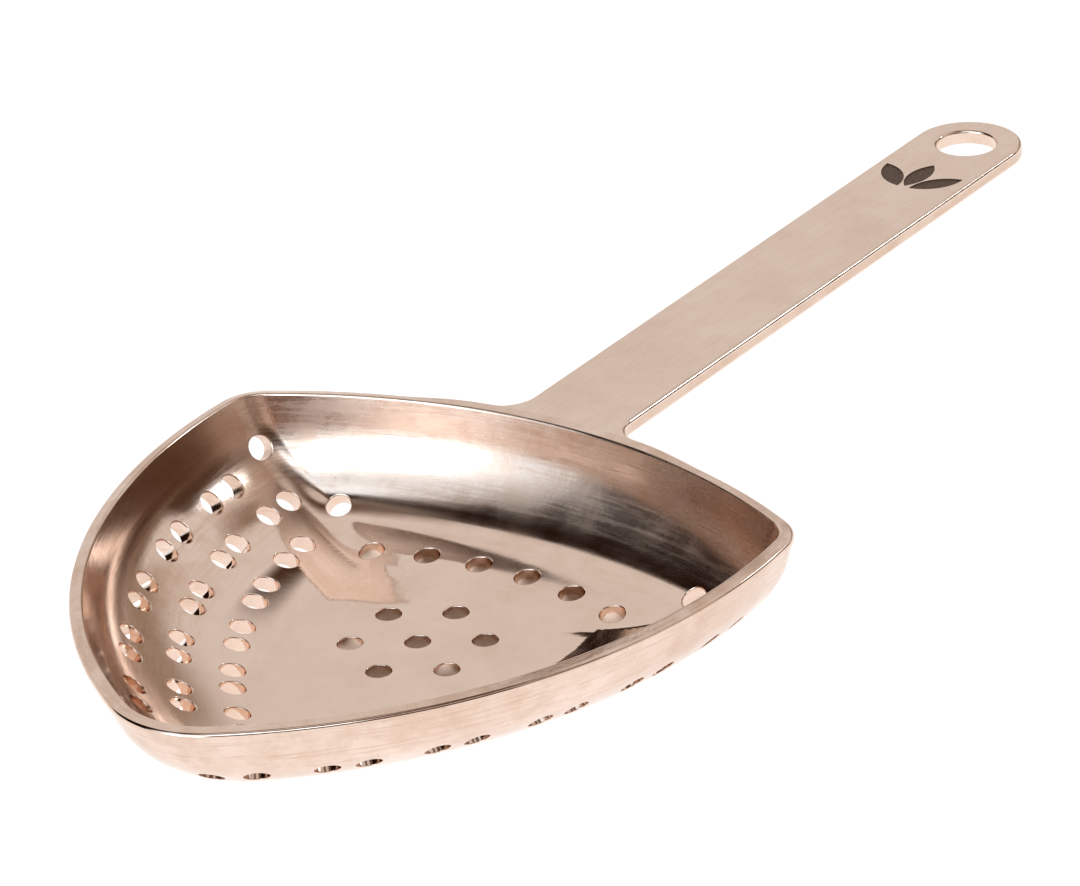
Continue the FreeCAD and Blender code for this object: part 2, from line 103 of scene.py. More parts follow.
# The inside of the floor is dished a little between its middle and the back wall.
DISH_RISE = 0.6
DISH_FROM = 0.45  # part of the way from the middle to the floor edge that stays level
DISH_SPAN = 8.0  # mean distance over which the dish rises
DISH_FADE = 9.0  # distance up the wall over which it fades

BACK, CORNER, SIDE, TIP, SIDE_LOW, CORNER_LOW = range(6)
ARC_COLUMNS = {BACK: 64, CORNER: 18, SIDE: 72, TIP: 30, SIDE_LOW: 72, CORNER_LOW: 18}


# ---------------------------------------------------------------- the pressed sheet as a surface


def wall_profile(turn, outer):
    """Spread and rise of the wall at each turn, and the distance along it from the floor edge."""
    side = GAUGE if outer else 0.0
    radius = FOOT_RADIUS + side
    height = RIM_HEIGHT - GAUGE + side
    end_angle = math.pi / 2 - WALL_LEAN
    foot_run = radius * math.sin(end_angle)
    foot_rise = radius * (1 - math.cos(end_angle))
    full_run = foot_run + (height - foot_rise) * math.tan(WALL_LEAN)
    angle = np.clip(turn, 0, 1) * end_angle
    above = np.clip(turn - 1, 0, None) * (height - foot_rise)
    run = radius * np.sin(angle) + above * math.tan(WALL_LEAN)
    rise = radius * (1 - np.cos(angle)) + above
    length = radius * angle + above / math.cos(WALL_LEAN)
    return run / full_run, rise / height, length, run


def dish(place, turn):
    """Rise of the dished floor above the CAD model's flat one: full along the back wall only."""
    off_back = np.clip(np.minimum(place - 1, 6 - place), 0, 1)
    share = 1 - off_back**2 * (3 - 2 * off_back)
    climb = np.clip((1 + turn - DISH_FROM) / (1 - DISH_FROM), 0, 1)
    on_floor = DISH_RISE * climb**2
    run = FOOT_RADIUS * np.sin(np.clip(turn, 0, 1) * (math.pi / 2 - WALL_LEAN))
    u = np.clip(run / DISH_FADE, 0, 1)
    slope = 2 * DISH_RISE / DISH_SPAN
    on_wall = DISH_RISE * (2 * u**3 - 3 * u**2 + 1) + slope * DISH_FADE * (u**3 - 2 * u**2 + u)
    return share * np.where(turn < 0, on_floor, on_wall)


def outline_sizes(turn, outer):
    """The seven sizes of the outline at each turn.  Turns below 0 shrink the floor edge."""
    spread = wall_profile(turn, outer)[0]
    inset = 0.0 if outer else GAUGE / math.cos(WALL_LEAN)
    shrink = 1 + np.minimum(turn, 0)
    sizes = {}
    for name in RIM:
        rim = RIM[name] - (0.0 if name in FIXED_SIZES else inset)
        sizes[name] = (FLOOR[name] * (1 - spread) + rim * spread) * shrink
    return sizes


def outline_arcs(turn, outer):
    """Centre x, centre y, radius, start and end of the six arcs at each turn, as (6, n) arrays."""
    q = outline_sizes(turn, outer)
    zero = np.zeros_like(q["reach"])
    back_x = q["reach"] - q["back_radius"]
    corner_x = back_x + np.sqrt((q["back_radius"] - q["corner_radius"]) ** 2 - q["corner_y"] ** 2)
    to_corner = q["side_radius"] - q["corner_radius"]
    to_tip = q["side_radius"] - q["tip_radius"]
    span_x, span_y = -q["tip_x"] - corner_x, -q["corner_y"]
    span = np.hypot(span_x, span_y)
    foot = (to_corner**2 - to_tip**2 + span**2) / (2 * span)
    offset = np.sqrt(to_corner**2 - foot**2)
    unit_x, unit_y = span_x / span, span_y / span
    side_x = corner_x + unit_x * foot - unit_y * offset
    side_y = q["corner_y"] + unit_y * foot + unit_x * offset
    back_end = np.arctan2(q["corner_y"], corner_x - back_x)
    side_start = np.arctan2(q["corner_y"] - side_y, corner_x - side_x)
    side_end = np.arctan2(-side_y, -q["tip_x"] - side_x)
    full = 2 * math.pi
    rows = [
        (back_x, zero, q["back_radius"], -back_end, back_end),
        (corner_x, q["corner_y"], q["corner_radius"], back_end, side_start),
        (side_x, side_y, q["side_radius"], side_start, side_end),
        (-q["tip_x"], zero, q["tip_radius"], side_end, full - side_end),
        (side_x, -side_y, q["side_radius"], full - side_end, full - side_start),
        (corner_x, -q["corner_y"], q["corner_radius"], full - side_start, full - back_end),
    ]
    return [np.array([row[k] + zero for row in rows]) for k in range(5)]


def sheet_point(place, turn, outer, dished=True):
    """Points of one side of the sheet.  A place is the number of an outline arc plus the along."""
    place, turn = np.broadcast_arrays(np.asarray(place, float) % 6, np.asarray(turn, float))
    centre_x, centre_y, radius, start, end = outline_arcs(turn, outer)
    arc = np.clip(place.astype(int), 0, 5)
    column = np.arange(arc.size)
    along = place - arc
    first, last = start[arc, column], end[arc, column]
    angle = first + (last - first) * along
    bottom = 0.0 if outer else GAUGE
    height = bottom + (RIM_HEIGHT - bottom) * wall_profile(turn, outer)[1]
    if dished and not outer:
        height = height + dish(place, turn)
    return np.stack([
        centre_x[arc, column] + radius[arc, column] * np.cos(angle),
        centre_y[arc, column] + radius[arc, column] * np.sin(angle),
        height,
    ], axis=1), np.stack([np.cos(angle), np.sin(angle)], axis=1)


def sheet_normal(place, turn, outer):
    """Outward normals of the metal: into the bowl on the inner side, away from it on the outer."""
    step = 1e-4
    along = sheet_point(place + step, turn, outer)[0] - sheet_point(place - step, turn, outer)[0]
    up = sheet_point(place, turn + step, outer)[0] - sheet_point(place, turn - step, outer)[0]
    normal = np.cross(along, up) * (1 if outer else -1)
    normal /= np.linalg.norm(normal, axis=1)[:, None]
    level = turn <= (0 if outer else DISH_FROM - 1)
    normal[level] = (0, 0, -1.0 if outer else 1.0)
    return normal


def flat_place(place, turn, outer):
    """Where a point of the sheet lies once the wall is laid out flat round the floor."""
    point, away = sheet_point(place, turn, outer)
    _, _, length, run = wall_profile(turn, outer)
    return point[:, :2] + away * (length - run)[:, None]


# ---------------------------------------------------------------- straining holes


def ring_place(turn, along):
    """The place at one along of a side wall, running on round the corner or the tip."""
    _, _, radius, start, end = outline_arcs(np.array([turn]), False)
    length = (radius * (end - start))[:, 0]
    if along < 0:
        return CORNER + 1 + along * length[SIDE] / length[CORNER]
    if along > 1:
        return TIP + (along - 1) * length[SIDE] / length[TIP]
    return SIDE + along


def drills():
    """Foot on the inner side and unit direction of every drill, in the order of the CAD model."""
    down = np.array([0.0, 0.0, -1.0])
    spots = [(0.0, 0.0)]
    for count in range(6):
        angle = math.pi / 3 * count
        spots.append((HOLE_PITCH * math.cos(angle), HOLE_PITCH * math.sin(angle)))
    for count in range(ROW_COUNT):
        offset = (count - (ROW_COUNT - 1) / 2) * ROW_PITCH
        spots.append((ROW_REACH - ROW_BOW * offset**2, offset))
    found = [(np.array([x, y, GAUGE]), down) for x, y in spots]
    places = [(turn, CORNER + along) for turn, along in CORNER_HOLES]
    for turn, first, step, gap, pairs in RINGS:
        for pair in range(pairs):
            for side in (-0.5, 0.5):
                places.append((turn, ring_place(turn, first + step * pair + gap * side)))
    for turn, place in places:
        inner = sheet_point([place], turn, False, dished=False)[0][0]
        outward = sheet_point([place], turn, True)[0][0] - inner
        outward /= np.linalg.norm(outward)
        for side in (1, -1):
            found.append((inner * (1, side, 1), outward * (1, side, 1)))
    return found


def cross_axes(direction):
    """Two unit vectors square to each direction and to each other."""
    helper = np.where(np.abs(direction[:, :1]) > 0.9, [[0.0, 1.0, 0.0]], [[1.0, 0.0, 0.0]])
    first = np.cross(direction, helper)
    first /= np.linalg.norm(first, axis=1)[:, None]
    return first, np.cross(direction, first)


# Each hole is first looked for on a grid of the sheet, and its rings are then solved from there.
SEARCH_PLACES, SEARCH_TURNS = 360, 73
SEARCHED_TURNS, SOLVED_TURNS = (-0.98, 1.9), (-0.995, 1.95)
SOLVER_STEPS, SOLVER_NUDGE = 30, 1e-5
MOST_PLACE_MOVE, MOST_TURN_MOVE = 0.12, 0.05
WORST_MISS = 1e-3


class Mouths:
    """Where rings of a given radius round each drill meet one side of the sheet."""

    def __init__(self, outer):
        self.outer = outer
        holes = drills()
        self.foot = np.array([foot for foot, _ in holes])
        self.axis = np.array([axis for _, axis in holes])
        self.first, self.second = cross_axes(self.axis)
        places = np.linspace(0, 6, SEARCH_PLACES + 1)[:-1]
        turns = np.linspace(*SEARCHED_TURNS, SEARCH_TURNS)
        grid_place, grid_turn = (a.ravel() for a in np.meshgrid(places, turns))
        grid = sheet_point(grid_place, grid_turn, outer)[0]
        self.place, self.turn = [], []
        for foot, axis in holes:
            gap = grid - foot
            gap -= (gap @ axis)[:, None] * axis
            nearness = (gap**2).sum(1) + 0.01 * ((grid - foot) ** 2).sum(1)
            best = nearness.argmin()
            self.place.append(grid_place[best])
            self.turn.append(grid_turn[best])

    def offset(self, hole, place, turn):
        """How far points of the sheet lie from the axis of a drill, along its two cross axes."""
        gap = sheet_point(place, turn, self.outer)[0] - self.foot[hole]
        return np.stack([
            (gap * self.first[hole]).sum(1), (gap * self.second[hole]).sum(1),
        ], axis=1)

    def ring(self, radius):
        """Place and turn of each vertex of each ring, as (holes, sides) arrays."""
        count = len(self.foot)
        hole = np.repeat(np.arange(count), HOLE_SIDES)
        angle = np.tile(np.arange(HOLE_SIDES) * 2 * math.pi / HOLE_SIDES, count)
        wanted = radius * np.stack([np.cos(angle), np.sin(angle)], axis=1)
        place = np.repeat(np.array(self.place), HOLE_SIDES)
        turn = np.repeat(np.array(self.turn), HOLE_SIDES)
        step = SOLVER_NUDGE
        for _ in range(SOLVER_STEPS):
            at = self.offset(hole, place, turn)
            by_place = (self.offset(hole, place + step, turn) - at) / step
            by_turn = (self.offset(hole, place, turn + step) - at) / step
            miss = wanted - at
            area = by_place[:, 0] * by_turn[:, 1] - by_place[:, 1] * by_turn[:, 0]
            place_move = (miss[:, 0] * by_turn[:, 1] - miss[:, 1] * by_turn[:, 0]) / area
            turn_move = (by_place[:, 0] * miss[:, 1] - by_place[:, 1] * miss[:, 0]) / area
            place = place + np.clip(place_move, -MOST_PLACE_MOVE, MOST_PLACE_MOVE)
            turn = turn + np.clip(turn_move, -MOST_TURN_MOVE, MOST_TURN_MOVE)
            turn = np.clip(turn, *SOLVED_TURNS)
        worst = np.abs(wanted - self.offset(hole, place, turn)).max()
        if worst > WORST_MISS:
            raise RuntimeError(f"a hole's mouth was not found: {worst:.4f} mm")
        return place.reshape(count, HOLE_SIDES), turn.reshape(count, HOLE_SIDES)


# ---------------------------------------------------------------- mesh making


class Builder:
    """Collects vertices with their true normals, and faces with their material numbers."""

    def __init__(self):
        self.points, self.normals, self.faces, self.kinds = [], [], [], []
        self.count = 0

    def add(self, points, normals):
        """Adds vertices and returns their numbers in the shape that they came in."""
        points = np.asarray(points, float)
        normals = np.broadcast_to(np.asarray(normals, float), points.shape)
        shape = points.shape[:-1]
        self.points.append(points.reshape(-1, 3))
        self.normals.append(normals.reshape(-1, 3))
        number = np.arange(self.count, self.count + self.points[-1].shape[0]).reshape(shape)
        self.count += self.points[-1].shape[0]
        return number

    def face(self, corners, kind=0):
        self.faces.append([int(c) for c in corners])
        self.kinds.append(kind)

    def strip(self, low, high, closed=True, flip=False, kind=0):
        """Quads between two rows of the same length."""
        last = len(low) if closed else len(low) - 1
        for k in range(last):
            n = (k + 1) % len(low)
            corners = (low[k], low[n], high[n], high[k])
            self.face(corners[::-1] if flip else corners, kind)

    def fill(self, numbers, flat, loops, flip=False, kind=0):
        """Triangles over laid-out points, inside the last loop and outside the others."""
        edges = [(loop[k], loop[(k + 1) % len(loop)]) for loop in loops for k in range(len(loop))]
        made = geometry.delaunay_2d_cdt([Vector(p) for p in flat], edges, [], 0, 1e-7)
        if len(made[0]) != len(flat):
            raise RuntimeError(f"the layout crossed itself: {len(made[0])} of {len(flat)} points")
        origin = [source[0] for source in made[3]]
        group = np.full(len(flat), -1)
        for index, loop in enumerate(loops):
            group[loop] = index
        faces = np.array([[origin[v] for v in face] for face in made[2]])
        keep = np.ones(len(faces), bool)
        shared = np.where((group[faces] == group[faces[:, :1]]).all(1), group[faces[:, 0]], -1)
        for index, loop in enumerate(loops):
            own = np.nonzero(shared == index)[0]
            if len(own):
                within = inside(flat[faces[own]].mean(1), flat[loop])
                keep[own] = within == (index == len(loops) - 1)
        for face in faces[keep]:
            corners = [numbers[v] for v in face]
            self.face(corners[::-1] if flip else corners, kind)

    def finish(self, name, materials):
        points = np.vstack(self.points) * METRES
        normals = np.vstack(self.normals)
        mesh = bpy.data.meshes.new(name)
        mesh.from_pydata([tuple(p) for p in points], [], self.faces)
        for material in materials:
            mesh.materials.append(material)
        mesh.polygons.foreach_set("material_index", self.kinds)
        mesh.polygons.foreach_set("use_smooth", [True] * len(mesh.polygons))
        mesh.update()
        mesh.normals_split_custom_set_from_vertices([tuple(n) for n in normals])
        piece = bpy.data.objects.new(name, mesh)
        bpy.context.scene.collection.objects.link(piece)
        return piece


def rounded(start, corner, end, start_normal, end_normal, steps, weight):
    """Points and normals of an arc that rounds a corner, without its two ends."""
    points, normals = [], []
    for k in range(1, steps):
        t = k / steps
        a, b, c = (1 - t) ** 2, 2 * t * (1 - t) * weight, t**2
        points.append((a * start + b * corner + c * end) / (a + b + c))
        normal = (1 - t) * start_normal + t * end_normal
        normals.append(normal / np.linalg.norm(normal, axis=-1, keepdims=True))
    return points, normals


# ---------------------------------------------------------------- the bowl

LAND_TILT = math.tan(WALL_LEAN)  # the rim is cut square to the wall
LAND_FLAT_Y, LAND_TILTED_Y = 12.0, 22.0  # but dressed level beside the handle
FLOOR_LATTICE = 1.6  # spacing of the vertices of the floor
LATTICE_REACH = 60.0  # how far they are laid out before they are cut to the floor's edge
LATTICE_EDGE = -0.05  # turn at which the floor's vertices give way to the wall's columns
BEARING_STEPS = 1440  # steps round the floor in which a bearing is turned into a place
FOOT_TURNS = np.linspace(0, 1, 31)
WALL_STEPS = 4
CLEAR = 0.34  # no other vertex lies closer to a hole's mouth
RIM_ROUND_STEPS = 6


def columns():
    """Places of the mesh columns round the outline."""
    return np.concatenate([
        arc + np.arange(count) / count for arc, count in ARC_COLUMNS.items()
    ])


def rim_turn(place, outer):
    """The turn at which each side of the sheet ends, where the rim's edge would be sharp."""
    if not outer:
        return np.full(place.shape, 2.0)
    corner = sheet_point(place, 2.0, True)[0]
    away = np.clip(
        (np.abs(corner[:, 1]) - LAND_FLAT_Y) / (LAND_TILTED_Y - LAND_FLAT_Y), 0, 1
    )
    away[corner[:, 0] < 0] = 1
    width = GAUGE / math.cos(WALL_LEAN)
    drop = width * LAND_TILT * away * away * (3 - 2 * away)
    foot_rise = (FOOT_RADIUS + GAUGE) * (1 - math.sin(WALL_LEAN))
    return 2 - drop / (RIM_HEIGHT - foot_rise)


def build_side(builder, outer):
    """One side of the sheet.  Returns its top row and its mouth rings."""
    mouths = Mouths(outer)
    mouth = MOUTH_OUT if outer else MOUTH_IN
    place = columns()
    turning = math.pi / 2 + (WALL_LEAN if outer else -WALL_LEAN)
    tangent = RIM_EDGE_RADIUS * math.tan(turning / 2)
    straight = wall_profile(np.array([2.0]), outer)[2] - wall_profile(np.array([1.0]), outer)[2]
    top_turn = rim_turn(place, outer) - tangent / float(straight[0])
    turns = np.concatenate([FOOT_TURNS, np.linspace(1, 2, WALL_STEPS + 1)[1:]])
    grid_turn, grid_place = np.meshgrid(turns, place, indexing="ij")
    grid_turn = np.where(grid_turn > 1, 1 + (grid_turn - 1) * (top_turn - 1), grid_turn).ravel()
    grid_place = grid_place.ravel()
    lattice = []
    rows = np.arange(-LATTICE_REACH, LATTICE_REACH, FLOOR_LATTICE * math.sqrt(3) / 2)
    for number, y in enumerate(rows):
        for x in np.arange(-LATTICE_REACH, LATTICE_REACH, FLOOR_LATTICE):
            lattice.append((x + (number % 2) * FLOOR_LATTICE / 2, y))
    lattice = np.array(lattice)
    edge = sheet_point(place, np.full(place.shape, LATTICE_EDGE), outer)[0][:, :2]
    lattice = lattice[inside(lattice, edge)]
    ring_places = np.linspace(0, 6, BEARING_STEPS + 1)
    ring = sheet_point(ring_places, 0.0, outer)[0]
    bearing = np.unwrap(np.arctan2(ring[:, 1], ring[:, 0]))
    own = np.arctan2(lattice[:, 1], lattice[:, 0])
    own = np.where(own < bearing[0], own + 2 * math.pi, own)
    floor_place = np.interp(own, bearing, ring_places)
    edge_reach = np.linalg.norm(sheet_point(floor_place, 0.0, outer)[0][:, :2], axis=1)
    floor_turn = np.linalg.norm(lattice, axis=1) / edge_reach - 1

    grid = sheet_point(grid_place, grid_turn, outer)[0]
    floor = np.c_[lattice, sheet_point(floor_place, floor_turn, outer)[0][:, 2]]
    every = np.vstack([grid, floor])
    normals = np.vstack([
        sheet_normal(grid_place, grid_turn, outer), sheet_normal(floor_place, floor_turn, outer),
    ])
    flat = np.vstack([flat_place(grid_place, grid_turn, outer), lattice])
    keep = np.ones(len(every), bool)
    for foot, axis in zip(mouths.foot, mouths.axis):
        gap = every - foot
        depth = gap @ axis
        away = np.linalg.norm(gap - depth[:, None] * axis, axis=1)
        keep &= (away > HOLE_RADIUS + mouth + CLEAR) | (np.abs(depth) > 3 * GAUGE)
    last_row = np.arange(len(turns) * len(place)) >= (len(turns) - 1) * len(place)
    keep[: len(last_row)] |= last_row
    rings = {}
    for name, radius in (("mouth", mouth), ("collar", mouth + COLLAR)):
        at = [part.ravel() for part in mouths.ring(HOLE_RADIUS + radius)]
        rings[name] = (
            sheet_point(*at, outer)[0], sheet_normal(*at, outer), flat_place(*at, outer),
        )
    sharp = sheet_point(*(part.ravel() for part in mouths.ring(HOLE_RADIUS)), outer)[0]

    all_points = np.vstack([every[keep], rings["mouth"][0], rings["collar"][0]])
    all_normals = np.vstack([normals[keep], rings["mouth"][1], rings["collar"][1]])
    all_flat = np.vstack([flat[keep], rings["mouth"][2], rings["collar"][2]])
    numbers = builder.add(all_points, all_normals)
    kept = int(keep.sum())
    new_number = np.cumsum(keep) - 1
    top_row = new_number[np.nonzero(last_row)[0]]
    holes = len(mouths.foot)
    loops = [
        list(range(kept + h * HOLE_SIDES, kept + (h + 1) * HOLE_SIDES)) for h in range(holes)
    ]
    loops.append([int(v) for v in top_row])
    builder.fill(numbers, all_flat, loops, flip=outer)
    mouth_rows = np.array([[numbers[v] for v in loop] for loop in loops[:-1]])
    shape = (holes, HOLE_SIDES, 3)
    return {
        "top": numbers[top_row], "top_turn": top_turn, "tangent": tangent,
        "mouths": mouth_rows, "mouth_points": rings["mouth"][0].reshape(shape),
        "mouth_normals": rings["mouth"][1].reshape(shape), "sharp": sharp.reshape(shape),
        "drills": mouths,
    }


def inside(points, polygon):
    """Which points lie inside a closed polygon."""
    x, y = points[:, :1], points[:, 1:]
    x0, y0 = polygon[:, 0], polygon[:, 1]
    x1, y1 = np.roll(x0, -1), np.roll(y0, -1)
    crosses = ((y0 > y) != (y1 > y)) & (x < (x1 - x0) * (y - y0) / (y1 - y0 + 1e-12) + x0)
    return crosses.sum(1) % 2 == 1


def build_bowl(materials):
    """The bowl: the two sides of its sheet, joined by the rim and by the bores of the holes."""
    builder = Builder()
    sides = {outer: build_side(builder, outer) for outer in (False, True)}
    inner, outer = sides[False], sides[True]

    # Rim: a rounded edge, the land and the other rounded edge.
    place = columns()
    corners = {o: sheet_point(place, rim_turn(place, o), o)[0] for o in (False, True)}
    across = corners[True] - corners[False]
    across /= np.linalg.norm(across, axis=1)[:, None]
    around = sheet_point(place + 1e-4, 2.0, True)[0] - sheet_point(place - 1e-4, 2.0, True)[0]
    up = np.cross(across, around)
    up /= np.linalg.norm(up, axis=1)[:, None]
    land = {}
    for is_outer, side in sides.items():
        start = sheet_point(place, side["top_turn"], is_outer)[0]
        start_normal = sheet_normal(place, side["top_turn"], is_outer)
        end = corners[is_outer] + across * side["tangent"] * (-1 if is_outer else 1)
        turning = math.pi / 2 + (WALL_LEAN if is_outer else -WALL_LEAN)
        points, normals = rounded(
            start, corners[is_outer], end, start_normal, up, RIM_ROUND_STEPS,
            math.cos(turning / 2),
        )
        made = [side["top"]] + [builder.add(p, n) for p, n in zip(points, normals)]
        made.append(builder.add(end, up))
        land[is_outer] = made
    rows = land[False] + land[True][::-1]
    for low, high in zip(rows, rows[1:]):
        builder.strip(low, high, flip=True)

    # Holes: rounded mouths and the straight bore between them.
    axis = inner["drills"].axis[:, None, :]
    for_axis = {False: axis, True: -axis}
    angle = np.arange(HOLE_SIDES) * 2 * math.pi / HOLE_SIDES
    first, second = inner["drills"].first[:, None, :], inner["drills"].second[:, None, :]
    bore_normal = -(first * np.cos(angle)[:, None] + second * np.sin(angle)[:, None])
    ends = {}
    for is_outer, side in sides.items():
        mouth = MOUTH_OUT if is_outer else MOUTH_IN
        end = side["sharp"] + for_axis[is_outer] * mouth
        points, normals = rounded(
            side["mouth_points"], side["sharp"], end, side["mouth_normals"], bore_normal,
            MOUTH_STEPS, math.sqrt(0.5),
        )
        made = [side["mouths"]] + [builder.add(p, n) for p, n in zip(points, normals)]
        made.append(builder.add(end, bore_normal))
        ends[is_outer] = (made, end)
    middle = (ends[False][1] + ends[True][1]) / 2
    rows = ends[False][0] + [builder.add(middle, bore_normal)] + ends[True][0][::-1]
    for low, high in zip(rows, rows[1:]):
        for hole in range(len(low)):
            builder.strip(low[hole], high[hole], flip=True)
    return builder.finish("strainer_bowl", materials)


# ---------------------------------------------------------------- the handle

FLARE_STEPS, NOSE_STEPS, ROOT_STEPS, EDGE_STEPS = 24, 56, 28, 28
ROUND_STEPS = 7  # across the rounding of one edge
HANG_HOLE_SIDES = 64
COPPER_FACE, ETCHED_FACE, SIDE_FACE = range(3)  # the materials of the bar
WALL_GRIP = 0.3  # how far the root of the bar and the weld reach into the wall
ROOT_EDGE = 0.03  # rounding of the bar's edges where they run into the wall
EDGE_FADE = 3.5  # distance over which the edges reach their full rounding
MOUTH_ARC_STEPS = 6
LEAF_STEPS = 18


def wall_x(y, z):
    """X of the outside of the bowl's back wall at a height above the foot radius."""
    foot_rise = (FOOT_RADIUS + GAUGE) * (1 - math.sin(WALL_LEAN))
    turn = 1 + (z - foot_rise) / (RIM_HEIGHT - foot_rise)
    sizes = outline_sizes(np.atleast_1d(turn), True)
    radius = sizes["back_radius"]
    return sizes["reach"] - radius + np.sqrt(radius**2 - np.asarray(y) ** 2)


def turn_to_part(vectors):
    """Directions of the bar's own frame (x along it, z up from its top) in the part's frame."""
    c, s = math.cos(HANDLE_DROOP), math.sin(HANDLE_DROOP)
    x, y, z = np.moveaxis(np.asarray(vectors, float), -1, 0)
    return np.stack([x * c + z * s, y, -x * s + z * c], axis=-1)


def handle_to_part(points):
    """The same for points."""
    return turn_to_part(points) + [RIM["reach"] - HANDLE_OVERLAP, 0, RIM_HEIGHT - HANDLE_DROP]


def handle_outline():
    """The bar from above, from one end of its root round the nose to the other.

    Gives the points, their outward directions and the rounding of the edge at each.
    """
    half = HANDLE_WIDTH / 2
    flare_x = HANDLE_OVERLAP + HANDLE_FLARE - FLARE_TUCK
    points, outward = [], []
    for angle in np.linspace(math.pi, 1.5 * math.pi, FLARE_STEPS + 1):
        spoke = np.array([math.cos(angle), math.sin(angle)])
        points.append(np.array([flare_x, half + HANDLE_FLARE]) + HANDLE_FLARE * spoke)
        outward.append(-spoke)
    for x in np.linspace(flare_x, HANDLE_LENGTH, EDGE_STEPS + 1)[1:-1]:
        points.append(np.array([x, half]))
        outward.append(np.array([0.0, 1.0]))
    for angle in np.linspace(math.pi / 2, 0, NOSE_STEPS // 2 + 1):
        spoke = np.array([math.cos(angle), math.sin(angle)])
        points.append(np.array([HANDLE_LENGTH, 0.0]) + half * spoke)
        outward.append(spoke)
    points, outward = np.array(points), np.array(outward)
    mirror = np.array([1.0, -1.0])
    points = np.vstack([points, points[-2::-1] * mirror])
    outward = np.vstack([outward, outward[-2::-1] * mirror])
    far = np.minimum(np.arange(len(points)), np.arange(len(points))[::-1])
    run = np.clip(far * HANDLE_FLARE * math.pi / 2 / FLARE_STEPS / EDGE_FADE, 0, 1)
    edge = ROOT_EDGE + (HANDLE_EDGE_RADIUS - ROOT_EDGE) * run * run * (3 - 2 * run)
    return points, outward, edge


def leaf_loops():
    """Outlines of the three leaves of the etched sprig, in the bar's own frame."""
    foot = np.array([HANDLE_LENGTH - LEAF_SETBACK, 0.0])
    half_angle = math.asin(LEAF_LENGTH / 2 / LEAF_BULGE)
    swing = np.linspace(-half_angle, half_angle, LEAF_STEPS + 1)
    along = LEAF_LENGTH / 2 + LEAF_BULGE * np.sin(swing) + LEAF_GAP
    across = LEAF_BULGE * (np.cos(swing) - math.cos(half_angle))
    loops = []
    for lean in (-LEAF_SPREAD, 0.0, LEAF_SPREAD):
        axis = np.array([math.cos(lean), math.sin(lean)])
        side = np.array([-axis[1], axis[0]])
        right = foot + np.outer(along, axis) - np.outer(across, side)
        left = foot + np.outer(along, axis) + np.outer(across, side)
        loops.append(np.vstack([right, left[-2:0:-1]]))
    return loops


